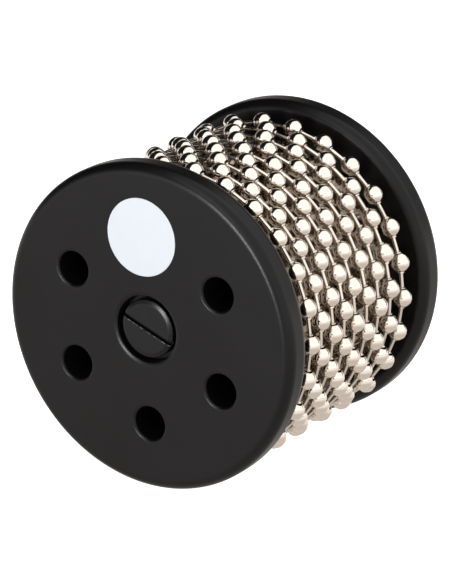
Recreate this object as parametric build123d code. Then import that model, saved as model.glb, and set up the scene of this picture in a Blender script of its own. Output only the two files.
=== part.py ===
from build123d import *

import os
from math import atan2, cos, hypot, pi, radians, sin

# A handle-less cabasa: a hollow drum of textured steel sheet, clamped between two round
# heads by a bolt through its middle, with loops of steel beads hung loosely around it.
# It lies on the rims of its heads.  The row frame has its origin on the table under the
# middle of the drum, +X to the right, +Y from the front head to the rear head and +Z up.
# Every piece is drawn in the drum's own frame first: origin at the drum's centre, +X right,
# +Y up and +Z towards the front head.  lay_down() then turns it into the row frame.

# Heads: two turned discs with rounded rims and a spigot that centres the drum shell
head_radius = 57.15
head_thickness = 11.0
rim_edge_radius = 3.4
rim_face_sides = 2
rim_inner_sides = 1
head_gap = 76.2
spigot_length = 4.0
spigot_fit = 0.15

# Sound holes: one circle of them, with the badge in the place of the top one
sound_hole_radius = 6.5
sound_hole_circle_radius = 33.6
sound_hole_places = 6

# Drum shell: one sheet of textured steel, rolled to a tube with a butt seam underneath
shell_outer_radius = 48.0
shell_thickness = 0.8
shell_seam_gap = 0.8

# Bolt through the middle: a slotted shoulder bolt screwed into a slotted sleeve nut
bolt_head_radius = 10.2
bolt_head_height = 4.0
bolt_head_edge = 0.9
bolt_head_recess = 0.5
bolt_well_gap = 1.6
shoulder_radius = 6.0
shoulder_fit = 0.2
shoulder_reach = 3.0
slot_width = 1.9
slot_depth = 1.6
slot_angle = -23.0
rod_radius = 4.0
thread_fit = 0.05
thread_engagement = 9.0
thread_runout = 0.5

# Bead loops: steel beads on short link pins, closed into rings that hang round the drum.
# Each bead is faceted, its corners a little proud of the round bead that it stands for.
beads_per_loop = 26
bead_radius = 3.175
bead_length = 7.6
bead_corner_radius = 3.3
bead_mouth_radius = 1.9
bead_sides = 6
bead_mouth_sides = 3
bead_shell_gap = 0.3
loop_slack = 1.0
link_radius = 0.75
link_sides = 3

# Where each loop lies between the heads, as shares of head_gap from the front head, and how
# far its beads are turned, as shares of one bead pitch from the +X direction
loop_place_shares = (0.113, 0.203, 0.300, 0.395, 0.486, 0.587, 0.687, 0.791, 0.901)
loop_turn_shares = (0.874, 0.387, 0.849, 0.322, 0.806, 0.387, 0.893, 0.214, 0.763)

# Cuts run past the faces that they open by this much
overrun = 1.0

# Levels along the drum's axis and radii that follow from the sizes above
inner_level = head_gap / 2
face_level = inner_level + head_thickness
spigot_level = inner_level - spigot_length
spigot_radius = shell_outer_radius - shell_thickness - spigot_fit
bolt_well_radius = bolt_head_radius + bolt_well_gap
bolt_top_level = face_level - bolt_head_recess
bolt_seat_level = bolt_top_level - bolt_head_height
shoulder_level = spigot_level - shoulder_reach
rod_end_level = shoulder_level + thread_engagement
loop_radius = shell_outer_radius + bead_shell_gap + bead_radius + loop_slack


def turned(points):
    """A solid of revolution about the drum's axis from an outline of (radius, level) points."""
    outline = Polyline([(radius, 0, level) for radius, level in points], close=True)
    return revolve(make_face(outline), Axis.Z)


def rim_corner(centre_level, start_angle, sides):
    """Outline points of one rounded rim corner, a quarter turn in equal sides."""
    centre_radius = head_radius - rim_edge_radius
    points = []
    for number in range(sides + 1):
        angle = radians(start_angle + 90 * number / sides)
        radius = centre_radius + rim_edge_radius * cos(angle)
        points.append((radius, centre_level + rim_edge_radius * sin(angle)))
    return points


def head():
    """One head: rounded rim, spigot, well and bore for the bolt, and five sound holes."""
    bore_radius = shoulder_radius + shoulder_fit
    outline = [(bore_radius, spigot_level), (spigot_radius, spigot_level), (spigot_radius, inner_level)]
    outline += rim_corner(inner_level + rim_edge_radius, -90, rim_inner_sides)
    outline += rim_corner(face_level - rim_edge_radius, 0, rim_face_sides)
    outline += [(bolt_well_radius, face_level), (bolt_well_radius, bolt_seat_level)]
    outline += [(bore_radius, bolt_seat_level)]
    disc = turned(outline)
    hole_length = face_level - spigot_level + 2 * overrun
    hole = Pos(0, 0, spigot_level - overrun) * extrude(Circle(sound_hole_radius), hole_length)
    for number in range(1, sound_hole_places):
        disc -= Rot(Z=number * 360 / sound_hole_places) * Pos(0, sound_hole_circle_radius, 0) * hole
    return disc


def drum_shell():
    """The rolled steel sheet between the heads, open at its butt seam on the underside."""
    inner_radius = shell_outer_radius - shell_thickness
    tube = turned([
        (inner_radius, -inner_level),
        (shell_outer_radius, -inner_level),
        (shell_outer_radius, inner_level),
        (inner_radius, inner_level),
    ])
    seam = Box(shell_seam_gap, 4 * shell_thickness, head_gap + overrun)
    return tube - Pos(0, -shell_outer_radius, 0) * seam


def screw_slot():
    """The straight slot across a bolt head, for a coin or a broad screwdriver."""
    slot = Box(2 * bolt_head_radius + overrun, slot_width, 2 * slot_depth)
    return Pos(0, 0, bolt_top_level) * Rot(Z=slot_angle) * slot


def slotted_head_outline():
    """Outline points of a slotted head and its shoulder, from the axis to the shoulder's end."""
    return [
        (0, bolt_top_level),
        (bolt_head_radius - bolt_head_edge, bolt_top_level),
        (bolt_head_radius, bolt_top_level - bolt_head_edge),
        (bolt_head_radius, bolt_seat_level),
        (shoulder_radius, bolt_seat_level),
        (shoulder_radius, shoulder_level),
    ]


def shoulder_bolt():
    """The bolt from the front: slotted head, shoulder and the rod that reaches the rear nut."""
    rod = [(rod_radius, shoulder_level), (rod_radius, -rod_end_level), (0, -rod_end_level)]
    return turned(slotted_head_outline() + rod) - screw_slot()


def sleeve_nut():
    """The nut from the rear: the same slotted head on a sleeve with a blind threaded bore."""
    bore_radius = rod_radius + thread_fit
    bore_end_level = rod_end_level + thread_runout
    bore = [(bore_radius, shoulder_level), (bore_radius, bore_end_level), (0, bore_end_level)]
    return Rot(Y=180) * (turned(slotted_head_outline() + bore) - screw_slot())


def ring_points(radius, level, sides, turn_share):
    """Corners of a regular polygon across +Z, its turn given as a share of one side."""
    angles = [2 * pi * (number + turn_share) / sides for number in range(sides)]
    return [(radius * cos(angle), radius * sin(angle), level) for angle in angles]


def bead():
    """One faceted bead on the loop at angle zero: wide in the middle, a flat mouth at each end."""
    points = ring_points(bead_corner_radius, 0, bead_sides, 1 / 2)
    points += ring_points(bead_mouth_radius, bead_length / 2, bead_mouth_sides, 0)
    points += ring_points(bead_mouth_radius, -bead_length / 2, bead_mouth_sides, 1 / 2)
    return Pos(loop_radius, 0, 0) * Rot(X=-90) * ConvexPolyhedron(points)


def link():
    """One link pin from the mouth of the bead at angle zero to the mouth of the next bead."""
    pitch = 2 * pi / beads_per_loop
    points = []
    for across, along, reach in ring_points(link_radius, bead_length / 2, link_sides, 0):
        radius = hypot(loop_radius + across, reach)
        angle = atan2(reach, loop_radius + across)
        for end_angle in (angle, pitch - angle):
            points.append((radius * cos(end_angle), radius * sin(end_angle), along))
    return ConvexPolyhedron(points)


def around_loop(piece, number):
    """Copies of a bead or a link pin all round one loop, at the loop's place on the drum."""
    pitch = 360 / beads_per_loop
    centre = Pos(0, -loop_slack, inner_level - loop_place_shares[number] * head_gap)
    first_turn = loop_turn_shares[number] * pitch
    return Compound([centre * Rot(Z=first_turn + count * pitch) * piece for count in range(beads_per_loop)])


def write(piece, name):
    """Lay a piece down in the row frame and write it as one node."""
    export_step(Pos(0, 0, head_radius) * Rot(X=90) * piece, "parts/" + name + ".step")


os.makedirs("parts", exist_ok=True)

write(head(), "front_head")
write(Rot(Y=180) * head(), "rear_head")
write(drum_shell(), "drum_shell")
write(shoulder_bolt(), "shoulder_bolt")
write(sleeve_nut(), "sleeve_nut")

for loop_number in range(len(loop_place_shares)):
    write(around_loop(bead(), loop_number), "bead_loop_" + str(loop_number + 1))
    write(around_loop(link(), loop_number), "link_loop_" + str(loop_number + 1))
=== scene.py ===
import bmesh
import bpy
from math import asin, atan2, cos, hypot, pi, radians, sin, tan
from mathutils import Matrix, Vector


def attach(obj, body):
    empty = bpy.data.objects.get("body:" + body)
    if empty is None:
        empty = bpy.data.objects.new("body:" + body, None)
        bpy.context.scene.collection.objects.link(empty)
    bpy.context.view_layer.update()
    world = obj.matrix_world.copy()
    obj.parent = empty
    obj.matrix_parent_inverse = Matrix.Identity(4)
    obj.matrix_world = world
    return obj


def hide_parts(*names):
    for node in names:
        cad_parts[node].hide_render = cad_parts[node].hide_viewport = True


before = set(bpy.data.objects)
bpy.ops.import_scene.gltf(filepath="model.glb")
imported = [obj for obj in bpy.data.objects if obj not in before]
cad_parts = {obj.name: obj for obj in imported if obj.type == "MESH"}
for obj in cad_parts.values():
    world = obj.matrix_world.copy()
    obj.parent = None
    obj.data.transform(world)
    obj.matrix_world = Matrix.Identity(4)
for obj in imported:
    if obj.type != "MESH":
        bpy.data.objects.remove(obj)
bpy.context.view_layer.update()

bpy.ops.object.select_all(action="DESELECT")


# Heads: two discs of turned hardwood with a rounded rim, a spigot that centres the drum, five
# sound holes and a well for the bolt, all sprayed with satin black lacquer.  One blank is
# turned and bored; the rear head is a copy of it, the front one gets a seat for its badge.
mm = 0.001
hair = 0.01 * mm
axle_height = 57.15 * mm
head_front = -49.1 * mm
head_thickness = 11.0 * mm
head_radius = 57.15 * mm
rim_edge = 3.4 * mm
rim_corners = 192
rim_steps = 9
spigot_radius = 46.9 * mm
spigot_length = 4.0 * mm
hole_radius = 5.9 * mm
hole_edge = 1.0 * mm
hole_edge_steps = 5
hole_circle = 33.6 * mm
hole_corners = 48
hole_angles = (30, 150, 210, 270, 330)
well_radius = 11.8 * mm
well_depth = 4.5 * mm
well_edge = 0.4 * mm
well_edge_steps = 4
well_foot = 0.3 * mm
well_corners = 96
lip_width = 0.85 * mm
slope_angle = 18
bore_radius = 6.2 * mm
badge_radius = 13.6 * mm
badge_offset = 32.15 * mm
badge_angle = 91.2
badge_depth = 0.35 * mm
badge_corners = 72
support = 0.35 * mm
turning_pitch = 0.9 * mm
smooth_angle = 32
off, full = (0, 0, 0, 1), (1, 1, 1, 1)


class Signal:
    """One shader socket that takes part in sums like a number."""

    def __init__(self, finish, socket):
        self.finish = finish
        self.socket = socket

    def maths(self, operation, first, second):
        return self.finish.node("ShaderNodeMath", {"operation": operation}, {0: first, 1: second})

    def __add__(self, other):
        return self.maths("ADD", self, other)

    def __radd__(self, other):
        return self.maths("ADD", other, self)

    def __sub__(self, other):
        return self.maths("SUBTRACT", self, other)

    def __rsub__(self, other):
        return self.maths("SUBTRACT", other, self)

    def __mul__(self, other):
        return self.maths("MULTIPLY", self, other)

    def __rmul__(self, other):
        return self.maths("MULTIPLY", other, self)

    def __truediv__(self, other):
        return self.maths("DIVIDE", self, other)

    def __pow__(self, other):
        return self.maths("POWER", self, other)


class Finish:
    """The shader of one material, or of the studio's room, and the nodes that feed it."""

    def __init__(self, owner, shader, settings):
        owner.use_nodes = True
        self.owner = owner
        self.tree = owner.node_tree
        self.shader = self.tree.nodes[shader]
        self.feed(settings)

    def feed(self, inputs, node=None):
        node = node or self.shader
        for key, value in inputs.items():
            if isinstance(value, Signal):
                self.tree.links.new(value.socket, node.inputs[key])
            else:
                node.inputs[key].default_value = value

    def node(self, kind, settings, inputs, output=0):
        """Adds a node, sets it up, feeds its sockets and gives back one of its outputs."""
        node = self.tree.nodes.new(kind)
        stops = settings.pop("stops", None)
        for key, value in settings.items():
            setattr(node, key, value)
        if stops:
            ramp = node.color_ramp.elements
            while len(ramp) < len(stops):
                ramp.new(1.0)
            for element, (place, colour) in zip(ramp, stops):
                element.position = place
                element.color = colour
        self.feed(inputs, node)
        return Signal(self, node.outputs[output])

    def place(self):
        """Where a point lies in the row frame, in metres."""
        return self.node("ShaderNodeTexCoord", {}, {}, "Object")

    def noise(self, place, scale, detail=3.0, roughness=0.55):
        settings = {"Vector": place, "Scale": scale, "Detail": detail, "Roughness": roughness}
        return self.node("ShaderNodeTexNoise", {}, settings)

    def ramp(self, value, stops):
        return self.node("ShaderNodeValToRGB", {"stops": stops}, {"Fac": value})

    def between(self, amount, painted_recess_shade_and_low_wall, high):
        """A value between two others, as the amount goes from 0 to 1."""
        return self.node("ShaderNodeMapRange", {}, {"Value": amount, "To Min": painted_recess_shade_and_low_wall, "To Max": high})

    def tint(self, amount, painted_recess_shade_and_low_wall, high):
        """A colour between two others, as the amount goes from 0 to 1."""
        return self.node("ShaderNodeMix", {"data_type": "RGBA"}, {0: amount, 6: painted_recess_shade_and_low_wall, 7: high}, 2)

    def bump(self, height, strength, distance):
        inputs = {"Height": height, "Strength": strength, "Distance": distance}
        self.feed({"Normal": self.node("ShaderNodeBump", {}, inputs, "Normal")})

    def axes(self, place):
        """How far a point lies across, along and above the drum's axis, in metres."""
        across, along, up = [self.node("ShaderNodeSeparateXYZ", {}, {0: place}, axis) for axis in "XYZ"]
        return across, along, up - axle_height

    def radius(self, place):
        """How far a point lies from the drum's axis, in metres."""
        across, along, up = self.axes(place)
        return (across * across + up * up) ** 0.5


def new_finish(name, settings):
    """A new material with a principled shader."""
    return Finish(bpy.data.materials.new(name), "Principled BSDF", settings)


def begin(name):
    """Names the primitive that was just added, puts its place in its mesh and opens it for shaping."""
    piece = bpy.context.object
    piece.name = name
    piece.data.name = name
    bpy.ops.object.transform_apply(location=True, rotation=True, scale=True)
    bpy.ops.object.mode_set(mode="EDIT")
    return piece


def add_ring(corners, radius, place):
    """Adds a ring of edges square to the drum's axis, picked and ready to be drawn out."""
    upright = (pi / 2, 0, 0)
    bpy.ops.mesh.primitive_circle_add(vertices=corners, radius=radius, location=place, rotation=upright)


def draw_out(outline, centre):
    """Draws the picked ring out along an outline of (radius, place along the axis) points."""
    radius, along = outline[0]
    for next_radius, next_along in outline[1:]:
        bpy.ops.mesh.extrude_edges_move(TRANSFORM_OT_translate={"value": (0, next_along - along, 0)})
        share = next_radius / radius
        middle = (centre[0], next_along, centre[2])
        bpy.ops.transform.resize(value=(share, 1, share), center_override=middle)
        radius, along = next_radius, next_along


def rounding(radius, along, size, start, turn, steps):
    """Outline points of a rounded corner about the point (radius, along)."""
    angles = [radians(start + turn * step / steps) for step in range(steps + 1)]
    return [(radius + size * cos(angle), along + size * sin(angle)) for angle in angles]


def pick(piece, test, kind="VERT"):
    """In edit mode, picks the corners, edges or faces that pass a test on the place of their middle."""
    bpy.ops.mesh.select_mode(type=kind)
    bpy.ops.mesh.select_all(action="DESELECT")
    shape = bmesh.from_edit_mesh(piece.data)
    if kind == "FACE":
        for face in shape.faces:
            face.select_set(test(face.calc_center_median()))
    elif kind == "EDGE":
        for edge in shape.edges:
            edge.select_set(len(edge.link_faces) < 2 and all(test(corner.co) for corner in edge.verts))
    else:
        for corner in shape.verts:
            corner.select_set(test(corner.co))
        shape.select_flush(True)
    bmesh.update_edit_mesh(piece.data)


def finish_shape(angle=smooth_angle):
    """Turns the faces outwards, leaves edit mode and shades the rounded parts smooth."""
    bpy.ops.mesh.select_all(action="SELECT")
    bpy.ops.mesh.normals_make_consistent(inside=False)
    bpy.ops.object.mode_set(mode="OBJECT")
    bpy.ops.object.shade_smooth_by_angle(angle=radians(angle))


def take(piece):
    """Selects one piece alone and makes it the active one."""
    bpy.ops.object.select_all(action="DESELECT")
    piece.select_set(True)
    bpy.context.view_layer.objects.active = piece


def copy_of(piece, name):
    """A copy with its own mesh."""
    take(piece)
    bpy.ops.object.duplicate()
    twin = bpy.context.object
    twin.name = name
    twin.data.name = name
    return twin


def off_axis(offset, degrees):
    """The place of a hole or a badge on the front head's face."""
    angle = radians(degrees)
    return (offset * cos(angle), head_front, axle_height + offset * sin(angle))


head_centre = (0, head_front, axle_height)
head_back = head_front + head_thickness
spigot_end = head_back + spigot_length
rim_start = head_radius - rim_edge

add_ring(rim_corners, rim_start - support, head_centre)
front_head = begin("front_head_wood")
bpy.ops.mesh.select_all(action="SELECT")
outline = [(rim_start - support, head_front)]
outline += rounding(rim_start, head_front + rim_edge, rim_edge, -90, 90, rim_steps)
outline += [(head_radius, head_front + rim_edge + support), (head_radius, head_back - rim_edge - support)]
outline += rounding(rim_start, head_back - rim_edge, rim_edge, 0, 90, rim_steps)
outline += [(rim_start - support, head_back), (spigot_radius, head_back)]
outline += [(spigot_radius, spigot_end - support), (spigot_radius - support, spigot_end)]
draw_out(outline, head_centre)

hole_mouth = hole_radius + hole_edge
hole_outline = [(hole_mouth + support, head_front)]
hole_outline += rounding(hole_mouth, head_front + hole_edge, hole_edge, -90, -90, hole_edge_steps)
hole_outline += [(hole_radius, head_front + hole_edge + support), (hole_radius, spigot_end)]
for degrees in hole_angles:
    place = off_axis(hole_circle, degrees)
    add_ring(hole_corners, hole_mouth + support, place)
    draw_out(hole_outline, place)

lip_fall = lip_width * tan(radians(slope_angle))
lip_centre = head_front + lip_fall + well_edge * cos(radians(slope_angle))
lip_start, lip_turn = -90 - slope_angle, slope_angle - 90
well_lip = rounding(well_radius + well_edge, lip_centre, well_edge, lip_start, lip_turn, well_edge_steps)
well_mouth = well_lip[0][0] + lip_width
well_floor = head_front + well_depth
outline = [(well_mouth + support, head_front), (well_mouth, head_front)]
for share in (1 / 3, 2 / 3):
    outline += [(well_mouth - lip_width * share, head_front + lip_fall * share)]
outline += well_lip + [(well_radius, lip_centre + support), (well_radius, well_floor - well_foot)]
outline += [(well_radius - well_foot, well_floor), (bore_radius, well_floor), (bore_radius, spigot_end)]
add_ring(well_corners, well_mouth + support, head_centre)
draw_out(outline, head_centre)

badge_centre = off_axis(badge_offset, badge_angle)
add_ring(badge_corners, badge_radius, badge_centre)


def from_badge(place):
    """How far a place lies from the badge's middle, seen from the front."""
    return hypot(place[0] - badge_centre[0], place[2] - badge_centre[2])


def in_badge_seat(place):
    """True for the places on the front face that the badge covers."""
    return abs(place[1] - head_front) < hair and from_badge(place) < badge_radius + 10 * hair


for level in (head_front, spigot_end):
    pick(front_head, lambda place: abs(place[1] - level) < hair, "EDGE")
    bpy.ops.mesh.fill(use_beauty=True)
pick(front_head, in_badge_seat, "EDGE")
bpy.ops.mesh.edge_face_add()
finish_shape()

rear_head = copy_of(front_head, "rear_head_wood")
rear_head.rotation_euler = (0, 0, pi)
bpy.ops.object.transform_apply(location=True, rotation=True, scale=True)

take(front_head)
bpy.ops.object.mode_set(mode="EDIT")
pick(front_head, lambda place: from_badge(place) < mm, "FACE")
bpy.ops.mesh.extrude_region_move(TRANSFORM_OT_translate={"value": (0, badge_depth, 0)})
finish_shape()

lacquer = new_finish("satin_black_lacquer", {"Specular IOR Level": 0.20})
place = lacquer.place()
radius = lacquer.radius(place)
peel = lacquer.noise(place, 1400, 2.0)
cloud = lacquer.noise(place, 38, 4.0)
dust = lacquer.noise(place, 5200, 1.0)
turning = lacquer.node("ShaderNodeMath", {"operation": "SINE"}, {0: radius * (2 * pi / turning_pitch)})
rubbed = lacquer.ramp(radius / head_radius + 0.03 * cloud, [(0.975, off), (1.0, full)])
lacquer.feed({
    "Base Color": lacquer.tint(cloud, (0.0016, 0.0014, 0.0017, 1), (0.0034, 0.0030, 0.0034, 1)),
    "Roughness": lacquer.between(cloud * 0.6 + peel * 0.3 + rubbed * 0.1, 0.27, 0.37),
})
lacquer.bump(peel + dust * 0.35 + turning * 0.05, 0.12, 0.05 * mm)

for piece, node in ((front_head, "front_head"), (rear_head, "rear_head")):
    piece.data.materials.append(lacquer.owner)
    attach(piece, "drum")
    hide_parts(node)


# Badge: a thin round plate of white enamelled metal, bare, pressed into its shallow seat in the
# front head above the bolt.
badge_gap = 0.06 * mm
badge_edge = 0.12 * mm
badge_edge_steps = 3

plate_radius = badge_radius - badge_gap
plate_back = head_front + badge_depth
add_ring(badge_corners, plate_radius, (badge_centre[0], plate_back, badge_centre[2]))
badge = begin("front_badge_plate")
bpy.ops.mesh.select_all(action="SELECT")
outline = [(plate_radius, plate_back)]
outline += rounding(plate_radius - badge_edge, head_front + badge_edge, badge_edge, 0, -90, badge_edge_steps)
outline += [(plate_radius - badge_edge - support, head_front)]
draw_out(outline, badge_centre)
bpy.ops.mesh.edge_face_add()
pick(badge, lambda place: place[1] > plate_back - hair, "EDGE")
bpy.ops.mesh.edge_face_add()
finish_shape()

enamel = new_finish("white_badge_enamel", {"Coat Roughness": 0.2})
place = enamel.place()
mottle = enamel.noise(place, 160, 4.0)
grain = enamel.noise(place, 2600, 2.0)
enamel.feed({
    "Base Color": enamel.tint(mottle, (0.36, 0.385, 0.41, 1), (0.39, 0.415, 0.44, 1)),
    "Roughness": enamel.between(grain, 0.30, 0.42),
    "Coat Weight": enamel.between(mottle, 0.15, 0.35),
})
enamel.bump(grain + mottle * 2.0, 0.08, 0.03 * mm)
badge.data.materials.append(enamel.owner)
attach(badge, "drum")


# Drum: a strip of embossed steel sheet rolled to a tube, its ends against the heads and its butt
# seam underneath.  Rows of short staggered ridges are rolled into the sheet, so that the beads rasp.
drum_outer = 48.0 * mm
drum_inner = 47.2 * mm
drum_half = 38.1 * mm
ridge_depth = 0.12 * mm
plain_margin = 1.5 * mm
seam_gap = 0.8 * mm
drum_smooth_angle = 40
drum_columns = 936
drum_rows = 56
ridge_columns = 8
ridge_rows = 4

drum_start = (0, -drum_half, axle_height)
add_ring(drum_columns, drum_outer, drum_start)
drum = begin("drum_sheet")
bpy.ops.mesh.select_all(action="SELECT")
outline = [(drum_outer, -drum_half + 2 * drum_half * row / drum_rows) for row in range(drum_rows + 1)]
outline += [(drum_inner, drum_half), (drum_inner, -drum_half), (drum_outer, -drum_half)]
draw_out(outline, drum_start)
bpy.ops.mesh.select_all(action="SELECT")
bpy.ops.mesh.remove_doubles(threshold=hair)


def between_ridges(place):
    """True for the corners of the plain sheet, between the short ridges that are staggered by rows."""
    if hypot(place[0], place[2] - axle_height) < drum_outer - 10 * hair:
        return False
    if abs(place[1]) > drum_half - plain_margin:
        return False
    column = round(atan2(place[2] - axle_height, place[0]) / (2 * pi) * drum_columns)
    row = round((place[1] + drum_half) / (2 * drum_half) * drum_rows)
    stagger = row // ridge_rows * ridge_columns // 2
    return row % ridge_rows == ridge_rows - 1 or (column + stagger) % ridge_columns > 0


pick(drum, between_ridges)
share = 1 - ridge_depth / drum_outer
bpy.ops.transform.resize(value=(share, 1, share), center_override=(0, 0, axle_height))


def at_seam(place):
    """True for the places between the two ends of the sheet."""
    return abs(place[0]) < seam_gap / 2 and place[2] < axle_height


pick(drum, at_seam, "FACE")
bpy.ops.mesh.delete(type="FACE")
for side in (-1, 1):
    pick(drum, lambda place: 0 < place[0] * side < mm and place[2] < axle_height, "EDGE")
    bpy.ops.mesh.fill(use_beauty=True)
finish_shape(drum_smooth_angle)

steel = new_finish("embossed_steel_sheet", {"Metallic": 1.0})
place = steel.place()
radius = steel.radius(place)
cloud = steel.noise(place, 60, 4.0)
grain = steel.noise(place, 3000, 3.0)
# Painted shade: the base colour is lighter on the ridge tops, darker on the pressed-in sheet between them
# and darkest inside the tube.
painted_recess_shade_and_low_wall = steel.ramp((drum_outer - radius) / (0.3 * mm), [(0.0, full), (1.0, off)])
steel.feed({
    "Base Color": steel.tint(painted_recess_shade_and_low_wall * 0.7 + cloud * 0.3, (0.17, 0.142, 0.118, 1), (0.26, 0.225, 0.19, 1)),
    "Roughness": steel.between(cloud * 0.5 + grain * 0.5, 0.05, 0.12),
})
steel.bump(grain, 0.02, 0.02 * mm)
drum.data.materials.append(steel.owner)
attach(drum, "drum")
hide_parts("drum_shell")


# Bolt: a broad slotted head of black-painted steel with a sloped edge and a painted highlight of
# bare-steel colour along one lip of its slot, a shoulder that fits the head's bore, and the threaded
# rod that pulls the two heads together on the drum.
bolt_radius = 10.2 * mm
bolt_edge = 0.4 * mm
bolt_edge_steps = 5
slope_width = 1.25 * mm
bolt_recess = 0.5 * mm
bolt_height = 4.0 * mm
shoulder_radius = 6.0 * mm
rod_radius = 4.0 * mm
rod_end = 40.1 * mm
rod_tip_radius = 3.2 * mm
rod_tip_length = 0.4 * mm
thread_start = 24 * mm
thread_depth = 0.5 * mm
thread_pitch = 1.0 * mm
thread_turns = 16
thread_fit = 0.05 * mm
head_corners = 96
head_foot = 0.2 * mm
slot_length = 24 * mm
slot_width = 1.5 * mm
slot_depth = 1.6 * mm
slot_turn = -23
bolt_top = head_front + bolt_recess
shoulder_end = 31.1 * mm


def slotted_head(name, outline):
    """A turned head with its shank, from the outline, with a slot milled across its top."""
    slope_fall = slope_width * tan(radians(slope_angle))
    edge_centre = bolt_top + slope_fall + bolt_edge * cos(radians(slope_angle))
    edge_radius = bolt_radius - bolt_edge
    start, turn = slope_angle - 90, 90 - slope_angle
    corner = rounding(edge_radius, edge_centre, bolt_edge, start, turn, bolt_edge_steps)
    slope_start = corner[0][0] - slope_width
    shares = (support / slope_width, 1 - support / slope_width)
    slope = [(slope_start + slope_width * share, bolt_top + slope_fall * share) for share in shares]
    first = (slope_start - support, bolt_top)
    add_ring(head_corners, first[0], (0, bolt_top, axle_height))
    piece = begin(name)
    bpy.ops.mesh.select_all(action="SELECT")
    points = [first, (slope_start, bolt_top)] + slope + corner
    seat = bolt_top + bolt_height
    points += [(bolt_radius, edge_centre + support), (bolt_radius, seat - head_foot)]
    points += [(bolt_radius - head_foot, seat), (shoulder_radius, seat)]
    draw_out(points + outline, (0, 0, axle_height))
    bpy.ops.mesh.edge_face_add()
    pick(piece, lambda place: abs(place[1] - bolt_top) < hair, "EDGE")
    bpy.ops.mesh.edge_face_add()
    finish_shape()

    place = (0, bolt_top, axle_height)
    size = (slot_length, 2 * slot_depth, slot_width)
    bpy.ops.mesh.primitive_cube_add(size=1, location=place, scale=size)
    cutter = begin("slot_cutter")
    finish_shape()
    there, back = Matrix.Translation(Vector(place)), Matrix.Translation(-Vector(place))
    cutter.data.transform(there @ Matrix.Rotation(radians(-slot_turn), 4, "Y") @ back)
    take(piece)
    cut = piece.modifiers.new("slot", "BOOLEAN")
    cut.operation = "DIFFERENCE"
    cut.object = cutter
    bpy.ops.object.modifier_apply(modifier=cut.name)
    bpy.data.objects.remove(cutter)
    bpy.ops.object.shade_smooth_by_angle(angle=radians(smooth_angle))
    return piece


outline = [(shoulder_radius, -shoulder_end), (rod_radius, -shoulder_end), (rod_radius, thread_start)]
for thread in range(thread_turns):
    crest = thread_start + (thread + 1) * thread_pitch
    outline += [(rod_radius - thread_depth, crest - thread_pitch / 2), (rod_radius, crest)]
outline += [(rod_tip_radius, rod_end + rod_tip_length)]
bolt = slotted_head("slotted_bolt", outline)

nut_edge = 0.5 * mm
bore = rod_radius + thread_fit
outline = [(shoulder_radius, -shoulder_end - nut_edge), (shoulder_radius - nut_edge, -shoulder_end)]
outline += [(bore + nut_edge, -shoulder_end), (bore, -shoulder_end - nut_edge)]
outline += [(bore, -rod_end - nut_edge)]
nut = slotted_head("slotted_sleeve_nut", outline)
nut.rotation_euler = (0, 0, pi)
bpy.ops.object.transform_apply(location=True, rotation=True, scale=True)

paint = new_finish("black_bolt_paint", {"Specular IOR Level": 0.20})
place = paint.place()
across, along, up = paint.axes(place)
cloud = paint.noise(place, 220, 4.0)
grain = paint.noise(place, 4200, 2.0)
worn = paint.ramp(paint.noise(place, 900, 4.0), [(0.62, off), (0.72, full)])
# Painted highlight: a band of bare-steel colour, made metallic, along the lower lip of each slot and broken
# up by noise.
side = paint.node("ShaderNodeMath", {"operation": "SIGN"}, {0: along})
below_slot = across * side * sin(radians(-slot_turn)) - up * cos(radians(slot_turn))
lip_highlight_band = paint.ramp(below_slot / mm, [(0.78, off), (0.81, full), (0.93, full), (0.98, off)])
highlight_breaks = paint.ramp(paint.noise(place, 700, 4.0), [(0.48, off), (0.56, full)])
painted_lip_highlight = lip_highlight_band * highlight_breaks
slick = paint.ramp(paint.radius(place) / bolt_radius, [(0.83, off), (0.87, full)])
black = paint.tint(worn, (0.0025, 0.0023, 0.0026, 1), (0.007, 0.0065, 0.007, 1))
paint.feed({
    "Base Color": paint.tint(painted_lip_highlight, black, (0.22, 0.215, 0.21, 1)),
    "Metallic": painted_lip_highlight,
    "Roughness": paint.between(cloud * 0.6 + grain * 0.4, 0.34, 0.48) - slick * 0.15,
})
paint.bump(grain + cloud, 0.12, 0.05 * mm)
for piece, node in ((bolt, "shoulder_bolt"), (nut, "sleeve_nut")):
    piece.data.materials.append(paint.owner)
    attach(piece, "drum")
    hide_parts(node)


# Bead loops: hollow beads pressed from steel and plated with bright nickel, 26 to a loop.  One bead
# is shaped and copied round a loop.  Each of the nine loops is a copy of it, turned to its place.
bead_count = 26
bead_radius = 3.38 * mm
bead_half = 3.45 * mm
bead_mouth = 1.4 * mm
lip_taper = 0.1 * mm
lip_depth = 0.5 * mm
bead_bands = 6
bead_corners = 12
bead_smooth_angle = 50
loop_radius = 52.475 * mm
loop_height = axle_height - 1.0 * mm
loop_places = (0.113, 0.203, 0.300, 0.395, 0.486, 0.587, 0.687, 0.791, 0.901)
loop_turns = (0.874, 0.387, 0.849, 0.322, 0.806, 0.387, 0.893, 0.214, 0.763)


def drawn_bar(name, corners, outline):
    """A small turned shape along +Z, where the loop crosses +X, from (radius, height) points."""
    radius, height = outline[0]
    bpy.ops.mesh.primitive_circle_add(vertices=corners, radius=radius, location=(loop_radius, 0, height))
    piece = begin(name)
    bpy.ops.mesh.select_all(action="SELECT")
    for next_radius, next_height in outline[1:]:
        bpy.ops.mesh.extrude_edges_move(TRANSFORM_OT_translate={"value": (0, 0, next_height - height)})
        share = next_radius / radius
        bpy.ops.transform.resize(value=(share, share, 1), center_override=(loop_radius, 0, next_height))
        radius, height = next_radius, next_height
    return piece


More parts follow.
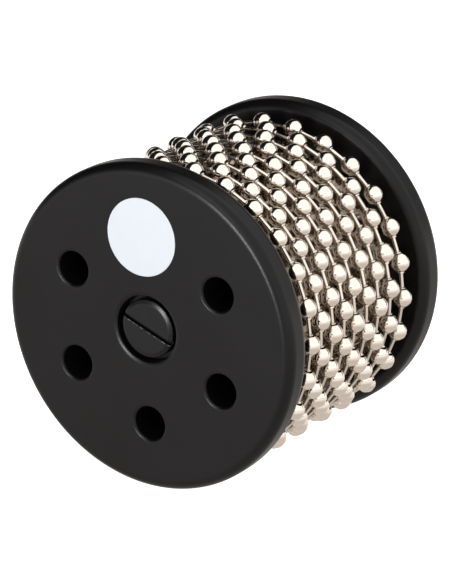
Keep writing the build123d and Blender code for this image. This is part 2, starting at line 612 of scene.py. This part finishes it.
def all_round(piece, turn):
    """Copies the shape round the loop and leaves edit mode."""
    bpy.ops.mesh.select_all(action="SELECT")
    bpy.ops.mesh.normals_make_consistent(inside=False)
    last = 2 * pi * (bead_count - 1) / bead_count
    bpy.ops.mesh.spin(steps=bead_count - 1, dupli=True, angle=last, center=(0, 0, 0), axis=(0, 1, 0))
    bpy.ops.object.mode_set(mode="OBJECT")
    bpy.ops.object.shade_smooth_by_angle(angle=radians(bead_smooth_angle))
    piece.rotation_euler = (0, -turn, 0)
    bpy.ops.object.transform_apply(location=True, rotation=True, scale=True)


def hang_loops(pattern, name, node, material):
    """Copies the pattern loop to the nine places and hands each copy to its body."""
    for number, (place, turn) in enumerate(zip(loop_places, loop_turns), 1):
        piece = copy_of(pattern, name + str(number))
        piece.location = (0, -drum_half + 2 * drum_half * place, loop_height)
        piece.rotation_euler = (0, -2 * pi * turn / bead_count, 0)
        bpy.ops.object.transform_apply(location=True, rotation=True, scale=True)
        piece.data.materials.append(material)
        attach(piece, "loop_" + str(number))
        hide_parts(node + str(number))
    bpy.data.objects.remove(pattern)


mouth_angle = asin(bead_mouth / bead_radius)
angles = [mouth_angle + (pi - 2 * mouth_angle) * step / bead_bands for step in range(bead_bands + 1)]
swell = 1 / cos(pi / bead_corners / 2)
outline = [(swell * bead_radius * sin(angle), -bead_half * cos(angle)) for angle in angles]
lip = (bead_mouth - lip_taper, bead_half * cos(mouth_angle) - lip_depth)
bead = drawn_bar("bead_pattern", bead_corners, [(lip[0], -lip[1])] + outline + [lip])
all_round(bead, 0)

nickel = new_finish("bright_nickel_beads", {"Metallic": 1.0})
place = nickel.place()
cloud = nickel.noise(place, 120, 4.0)
fine = nickel.noise(place, 3500, 3.0)
nickel.feed({
    "Base Color": nickel.tint(cloud, (0.72, 0.655, 0.59, 1), (0.78, 0.715, 0.65, 1)),
    "Roughness": nickel.between(cloud * 0.5 + fine * 0.5, 0.08, 0.16),
})
nickel.bump(fine, 0.05, 0.02 * mm)
hang_loops(bead, "beads_of_loop_", "bead_loop_", nickel.owner)


# Link pins: short round bars of nickel-plated steel wire.  Each end has a knob that sits in the mouth
# of a bead, so that the chain can bend but not come apart.
pin_radius = 0.68 * mm
pin_corners = 8
knob_radius = 1.2 * mm
knob_end_radius = 0.9 * mm
knob_depth = 0.7 * mm
knob_edge = 0.3 * mm
knob_stand = 0.5 * mm
knob_neck = 0.25 * mm

pitch = 2 * pi / bead_count
half_chord = loop_radius * sin(pitch / 2) - bead_half * cos(mouth_angle)
outline = [
    (knob_end_radius, -half_chord - knob_depth),
    (knob_radius, -half_chord - knob_depth + knob_edge),
    (knob_radius, -half_chord + knob_stand),
    (pin_radius, -half_chord + knob_stand + knob_neck),
]
outline += [(radius, -height) for radius, height in reversed(outline)]
pin = drawn_bar("pin_pattern", pin_corners, outline)
bpy.ops.mesh.edge_face_add()
pick(pin, lambda place: place[2] < -half_chord - knob_depth + hair, "EDGE")
bpy.ops.mesh.edge_face_add()
bpy.ops.mesh.select_all(action="SELECT")
bpy.ops.transform.translate(value=(loop_radius * (cos(pitch / 2) - 1), 0, 0))
all_round(pin, pitch / 2)

wire = new_finish("nickel_link_pins", {"Metallic": 1.0})
place = wire.place()
cloud = wire.noise(place, 300, 4.0)
fine = wire.noise(place, 5000, 2.0)
wire.feed({
    "Base Color": wire.tint(cloud, (0.60, 0.54, 0.48, 1), (0.72, 0.66, 0.60, 1)),
    "Roughness": wire.between(fine, 0.12, 0.26),
})
wire.bump(fine, 0.06, 0.02 * mm)
hang_loops(pin, "pins_of_loop_", "link_loop_", wire.owner)


# Studio: a broad pale table under the object, a large softbox that leans over it from the right,
# one in front, a low one to the left with a narrow strip light beside it, and a room that is dark
# overhead, grey behind the object and pale below, where mirrors show the table.
floor_size = 30
bpy.ops.mesh.primitive_plane_add(size=floor_size, location=(0, 0, 0))
floor = bpy.context.object
floor.name = "studio_floor"
paper = new_finish("pale_table", {"Specular IOR Level": 0.2, "Roughness": 0.9, "Emission Strength": 1.1})
place = paper.place()
glow = paper.tint(paper.noise(place, 3, 2.0), (0.86, 0.86, 0.86, 1), (0.90, 0.90, 0.90, 1))
paper.feed({"Base Color": glow, "Emission Color": glow})
floor.data.materials.append(paper.owner)
floor.visible_glossy = False


def softbox(name, azimuth, elevation, distance, width, height, strength, colour):
    """A flat light that looks at the object, its brightness given as seen, not in watts."""
    bpy.ops.object.light_add(type="AREA")
    light = bpy.context.object
    light.name = name
    light.data.shape = "RECTANGLE"
    light.data.size = width
    light.data.size_y = height
    light.data.energy = strength * pi * width * height
    light.data.color = colour
    turn, rise = radians(azimuth), radians(elevation)
    way = Vector((sin(turn) * cos(rise), -cos(turn) * cos(rise), sin(rise)))
    light.visible_camera = False
    light.location = Vector((0, 0, axle_height)) + way * distance
    light.rotation_euler = way.to_track_quat("Z", "Y").to_euler()


softbox("right_softbox", 80, 50, 0.40, 1.35, 1.00, 1.5, (1.0, 0.985, 0.96))
softbox("left_softbox", -22, 9, 0.90, 0.95, 0.44, 0.6, (0.97, 0.985, 1.0))
softbox("front_softbox", 2, 33, 0.80, 0.44, 0.66, 1.4, (1.0, 0.985, 0.96))
softbox("strip_light", -8, 3, 0.80, 0.12, 0.28, 42.0, (0.97, 0.985, 1.0))

world = bpy.context.scene.world or bpy.data.worlds.new("studio_room")
bpy.context.scene.world = world
room = Finish(world, "Background", {"Strength": 1.0})
way = room.node("ShaderNodeTexCoord", {}, {}, "Generated")
along, up = [room.node("ShaderNodeSeparateXYZ", {}, {0: way}, axis) for axis in ("Y", "Z")]
below = room.ramp(up * -1, [(0.0, off), (0.04, full)])
# Painted shadow: the table in the room is darker straight below the object and brighter towards the horizon.
far = room.ramp(up * -1, [(0.05, full), (0.60, off)])
behind = room.ramp(along * 0.5 + 0.5, [(0.62, off), (0.80, full)])
table = room.tint(far, (0.75, 0.70, 0.65, 1), (1.40, 1.35, 1.29, 1))
painted_recess_shade_and_low_wall = room.ramp(up, [(0.10, full), (0.40, off)])
wall = room.tint(painted_recess_shade_and_low_wall * behind, (0.01, 0.01, 0.01, 1), (0.60, 0.57, 0.54, 1))
room.feed({"Color": room.tint(below, wall, table)})

camera_azimuth, camera_elevation, camera_roll = 33.709, 18.690, -1.6118
camera_place = (0.62215, -0.93294, 0.43507)
bpy.ops.object.camera_add(location=camera_place)
camera = bpy.context.object
camera.name = "studio_camera"
turned = Matrix.Rotation(radians(camera_azimuth), 4, "Z")
turned = turned @ Matrix.Rotation(radians(90 - camera_elevation), 4, "X")
turned = turned @ Matrix.Rotation(radians(camera_roll), 4, "Z")
camera.rotation_euler = turned.to_euler()
camera.data.lens = 211.59
camera.data.sensor_width = 36
camera.data.clip_end = 50
bpy.context.scene.camera = camera
bpy.context.scene.view_settings.view_transform = "Standard"
